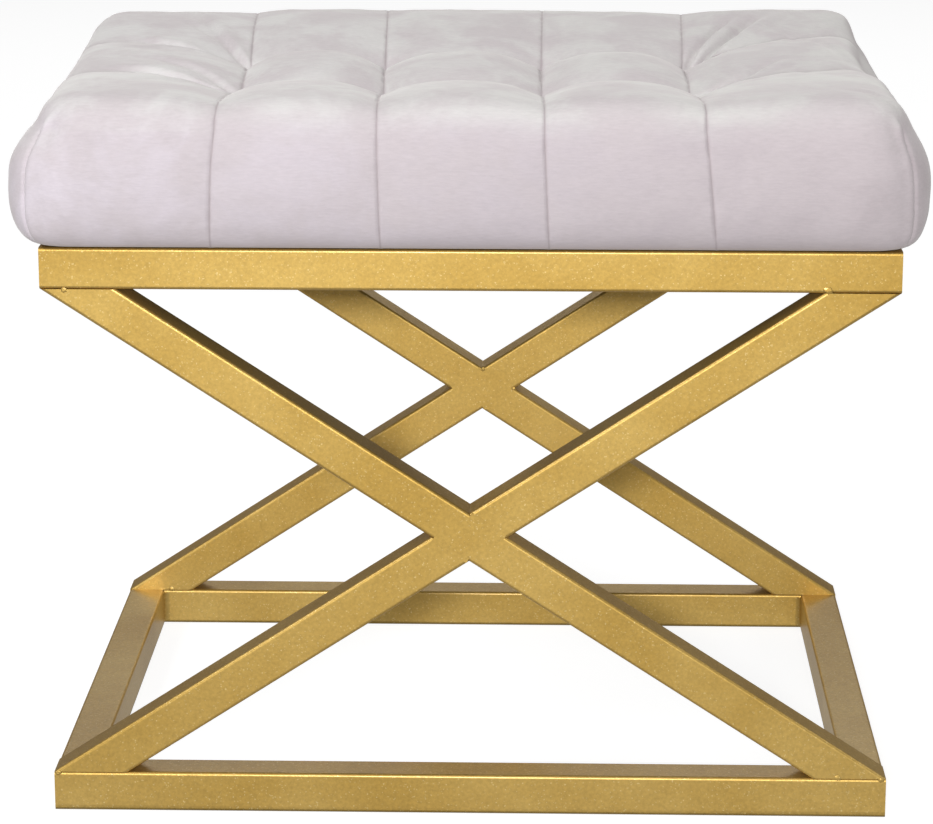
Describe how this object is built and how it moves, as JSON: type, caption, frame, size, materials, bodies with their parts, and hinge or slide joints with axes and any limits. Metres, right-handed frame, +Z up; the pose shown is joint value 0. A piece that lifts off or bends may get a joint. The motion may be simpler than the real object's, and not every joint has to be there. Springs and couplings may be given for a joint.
{
  "type": "x frame stool",
  "caption": "Low upholstered stool: a tufted velvet seat cushion on a welded square tube frame with crossed braces at front and back.",
  "frame": {"origin": "on the floor, under the middle of the seat", "axes": "+Z up, +X to the right along the stool's width, -Y towards the front"},
  "size_m": [0.544, 0.443, 0.4456],
  "materials": {
    "gold_paint": "satin",
    "zinc_steel": "satin",
    "plywood": "matte",
    "foam": "matte",
    "lining_cloth": "matte",
    "tape": "matte",
    "velvet": "matte"
  },
  "bodies": {
    "root": {"front_base_rail": "gold_paint", "back_base_rail": "gold_paint", "left_base_rail": "gold_paint", "right_base_rail": "gold_paint", "front_seat_rail": "gold_paint", "back_seat_rail": "gold_paint", "left_seat_rail": "gold_paint", "right_seat_rail": "gold_paint", "front_brace_whole": "gold_paint", "front_brace_lower_half": "gold_paint", "front_brace_upper_half": "gold_paint", "back_brace_whole": "gold_paint", "back_brace_lower_half": "gold_paint", "back_brace_upper_half": "gold_paint", "rail_end_caps": "gold_paint", "base_corner_welds": "gold_paint", "seat_corner_welds": "gold_paint", "seat_tabs": "gold_paint", "seat_bolts": "zinc_steel", "seat_nuts": "zinc_steel", "lining_staples": "zinc_steel", "seat_board": "plywood", "foam_core": "foam", "lining": "lining_cloth", "tuft_tapes": "tape", "tape_staples": "zinc_steel", "quilted_cover": "velvet"}
  },
  "joints": []
}
